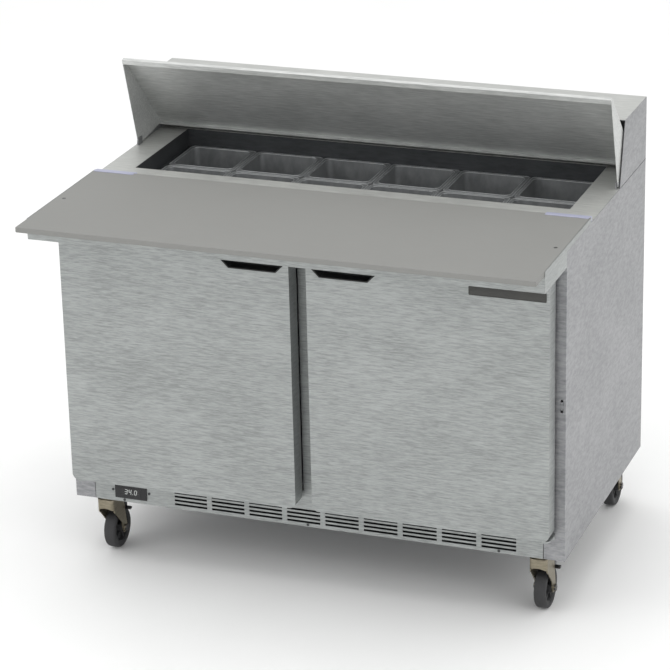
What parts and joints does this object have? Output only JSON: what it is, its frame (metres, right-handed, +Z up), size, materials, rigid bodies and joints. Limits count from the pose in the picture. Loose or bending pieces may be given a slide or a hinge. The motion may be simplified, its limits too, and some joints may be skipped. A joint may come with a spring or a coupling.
{
  "type": "refrigerated sandwich prep table",
  "caption": "Stainless refrigerated prep table with a flip-up hood over recessed food pans, an overhanging cutting board, front doors, a kick grille and swivel casters",
  "frame": {"origin": "on the floor under the middle of the overall box", "axes": "+X to the right seen from the front, along the width; +Y to the rear; +Z up"},
  "size_m": [1.219, 0.949, 1.142],
  "materials": {
    "brushed_stainless": "fine horizontal brushed stainless steel",
    "side_stainless": "fine brushed stainless steel",
    "galvanised_sheet": "dull galvanised sheet",
    "lid_stainless": "brushed stainless steel",
    "screw_steel": "small steel fasteners",
    "controller_plastic": "matte dark plastic",
    "display_plastic": "dark display lens",
    "liner_aluminium": "embossed aluminium liner over foam",
    "well_steel": "shaded stainless well",
    "pan_steel": "satin stainless food pan",
    "bracket_plastic": "smooth pale bracket",
    "board_plastic": "matte grey board",
    "handle_plastic": "matte black plastic",
    "gasket_rubber": "dark door gasket",
    "plate_metal": "plain blank plate",
    "coated_wire": "coated wire",
    "coil_aluminium": "finned coil",
    "compressor_enamel": "black enamel",
    "fan_plastic": "matte plastic fan",
    "zinc_plate": "yellowish zinc plate",
    "wheel_rubber": "dark grey rubber tread",
    "brake_steel": "black painted steel"
  },
  "bodies": {
    "cabinet": {"base_pan": "galvanised_sheet", "board_brackets": "bracket_plastic", "board_pins": "screw_steel", "board_tray": "brushed_stainless", "caster_plates": "zinc_plate", "compressor": "compressor_enamel", "condenser_coil": "galvanised_sheet", "controller_housing": "controller_plastic", "display_window": "display_plastic", "door_frame": "brushed_stainless", "evaporator_coil": "coil_aluminium", "grille_panel": "brushed_stainless", "hinge_brackets": "brushed_stainless", "insulated_liner": "liner_aluminium", "left_side_panel": "side_stainless", "lid_pivots": "brushed_stainless", "pan_divider_bars": "well_steel", "pan_well": "well_steel", "panel_screws": "screw_steel", "power_inlet": "handle_plastic", "rear_hood": "brushed_stainless", "rear_panel": "galvanised_sheet", "right_side_panel": "side_stainless", "shelf_pilasters": "galvanised_sheet", "top_deck": "brushed_stainless", "wire_shelves": "coated_wire"},
    "left_door": {"left_door_skin": "brushed_stainless", "left_door_core": "liner_aluminium", "left_door_gasket": "gasket_rubber", "left_door_handle": "handle_plastic"},
    "right_door": {"right_door_skin": "brushed_stainless", "right_door_core": "liner_aluminium", "right_door_gasket": "gasket_rubber", "right_door_handle": "handle_plastic", "nameplate": "plate_metal"},
    "lid": {"lid_shell": "lid_stainless"},
    "board": {"cutting_board": "board_plastic"},
    "front_insert_1": {"front_pan_1": "pan_steel"},
    "front_insert_2": {"front_pan_2": "pan_steel"},
    "front_insert_3": {"front_pan_3": "pan_steel"},
    "front_insert_4": {"front_pan_4": "pan_steel"},
    "front_insert_5": {"front_pan_5": "pan_steel"},
    "front_insert_6": {"front_pan_6": "pan_steel"},
    "rear_insert_1": {"rear_pan_1": "pan_steel"},
    "rear_insert_2": {"rear_pan_2": "pan_steel"},
    "rear_insert_3": {"rear_pan_3": "pan_steel"},
    "rear_insert_4": {"rear_pan_4": "pan_steel"},
    "rear_insert_5": {"rear_pan_5": "pan_steel"},
    "rear_insert_6": {"rear_pan_6": "pan_steel"},
    "front_left_caster": {"front_left_fork": "zinc_plate"},
    "front_left_roller": {"front_left_wheel": "wheel_rubber"},
    "front_left_lock": {"front_left_brake": "brake_steel"},
    "front_right_caster": {"front_right_fork": "zinc_plate"},
    "front_right_roller": {"front_right_wheel": "wheel_rubber"},
    "front_right_lock": {"front_right_brake": "brake_steel"},
    "rear_left_caster": {"rear_left_fork": "zinc_plate"},
    "rear_left_roller": {"rear_left_wheel": "wheel_rubber"},
    "rear_right_caster": {"rear_right_fork": "zinc_plate"},
    "rear_right_roller": {"rear_right_wheel": "wheel_rubber"},
    "fan": {"condenser_fan": "fan_plastic"}
  },
  "joints": [
    {"name": "left_door_swing", "type": "hinge", "parent": "cabinet", "child": "left_door", "pos_m": [-0.572, -0.2775, 0.544], "axis": [0, 0, -1], "range_deg": [0, 115], "stiffness_Nm_per_rad": 1, "springref_deg": -45.84},
    {"name": "right_door_swing", "type": "hinge", "parent": "cabinet", "child": "right_door", "pos_m": [0.572, -0.2775, 0.544], "axis": [0, 0, 1], "range_deg": [0, 115], "stiffness_Nm_per_rad": 1, "springref_deg": -45.84},
    {"name": "lid_swing", "type": "hinge", "parent": "cabinet", "child": "lid", "pos_m": [0, 0.2055, 0.915], "axis": [-1, 0, 0], "range_deg": [-73.4, 0]},
    {"name": "board_lift", "type": "slide", "parent": "cabinet", "child": "board", "axis": [0, 0, 1], "range_m": [0, 0.12]},
    {"name": "front_pan_1_lift", "type": "slide", "parent": "cabinet", "child": "front_insert_1", "axis": [0, 0, 1], "range_m": [0, 0.15]},
    {"name": "front_pan_2_lift", "type": "slide", "parent": "cabinet", "child": "front_insert_2", "axis": [0, 0, 1], "range_m": [0, 0.15]},
    {"name": "front_pan_3_lift", "type": "slide", "parent": "cabinet", "child": "front_insert_3", "axis": [0, 0, 1], "range_m": [0, 0.15]},
    {"name": "front_pan_4_lift", "type": "slide", "parent": "cabinet", "child": "front_insert_4", "axis": [0, 0, 1], "range_m": [0, 0.15]},
    {"name": "front_pan_5_lift", "type": "slide", "parent": "cabinet", "child": "front_insert_5", "axis": [0, 0, 1], "range_m": [0, 0.15]},
    {"name": "front_pan_6_lift", "type": "slide", "parent": "cabinet", "child": "front_insert_6", "axis": [0, 0, 1], "range_m": [0, 0.15]},
    {"name": "rear_pan_1_lift", "type": "slide", "parent": "cabinet", "child": "rear_insert_1", "axis": [0, 0, 1], "range_m": [0, 0.035]},
    {"name": "rear_pan_2_lift", "type": "slide", "parent": "cabinet", "child": "rear_insert_2", "axis": [0, 0, 1], "range_m": [0, 0.035]},
    {"name": "rear_pan_3_lift", "type": "slide", "parent": "cabinet", "child": "rear_insert_3", "axis": [0, 0, 1], "range_m": [0, 0.035]},
    {"name": "rear_pan_4_lift", "type": "slide", "parent": "cabinet", "child": "rear_insert_4", "axis": [0, 0, 1], "range_m": [0, 0.035]},
    {"name": "rear_pan_5_lift", "type": "slide", "parent": "cabinet", "child": "rear_insert_5", "axis": [0, 0, 1], "range_m": [0, 0.035]},
    {"name": "rear_pan_6_lift", "type": "slide", "parent": "cabinet", "child": "rear_insert_6", "axis": [0, 0, 1], "range_m": [0, 0.035]},
    {"name": "front_left_swivel", "type": "hinge", "parent": "cabinet", "child": "front_left_caster", "pos_m": [-0.542, -0.2025, 0.137], "axis": [0, 0, 1], "continuous": true},
    {"name": "front_left_roll", "type": "hinge", "parent": "front_left_caster", "child": "front_left_roller", "pos_m": [-0.542, -0.1675, 0.05], "axis": [1, 0, 0], "continuous": true},
    {"name": "front_left_brake_press", "type": "hinge", "parent": "front_left_caster", "child": "front_left_lock", "pos_m": [-0.542, -0.1785, 0.129], "axis": [-1, 0, 0], "range_deg": [0, 8]},
    {"name": "front_right_swivel", "type": "hinge", "parent": "cabinet", "child": "front_right_caster", "pos_m": [0.542, -0.2025, 0.137], "axis": [0, 0, 1], "continuous": true},
    {"name": "front_right_roll", "type": "hinge", "parent": "front_right_caster", "child": "front_right_roller", "pos_m": [0.542, -0.1675, 0.05], "axis": [1, 0, 0], "continuous": true},
    {"name": "front_right_brake_press", "type": "hinge", "parent": "front_right_caster", "child": "front_right_lock", "pos_m": [0.542, -0.1785, 0.129], "axis": [-1, 0, 0], "range_deg": [0, 8]},
    {"name": "rear_left_swivel", "type": "hinge", "parent": "cabinet", "child": "rear_left_caster", "pos_m": [-0.542, 0.3895, 0.137], "axis": [0, 0, 1], "continuous": true},
    {"name": "rear_left_roll", "type": "hinge", "parent": "rear_left_caster", "child": "rear_left_roller", "pos_m": [-0.542, 0.4245, 0.05], "axis": [1, 0, 0], "continuous": true},
    {"name": "rear_right_swivel", "type": "hinge", "parent": "cabinet", "child": "rear_right_caster", "pos_m": [0.542, 0.3895, 0.137], "axis": [0, 0, 1], "continuous": true},
    {"name": "rear_right_roll", "type": "hinge", "parent": "rear_right_caster", "child": "rear_right_roller", "pos_m": [0.542, 0.4245, 0.05], "axis": [1, 0, 0], "continuous": true},
    {"name": "fan_spin", "type": "hinge", "parent": "cabinet", "child": "fan", "pos_m": [-0.2, 0.3595, 0.291], "axis": [0, 1, 0], "continuous": true}
  ]
}
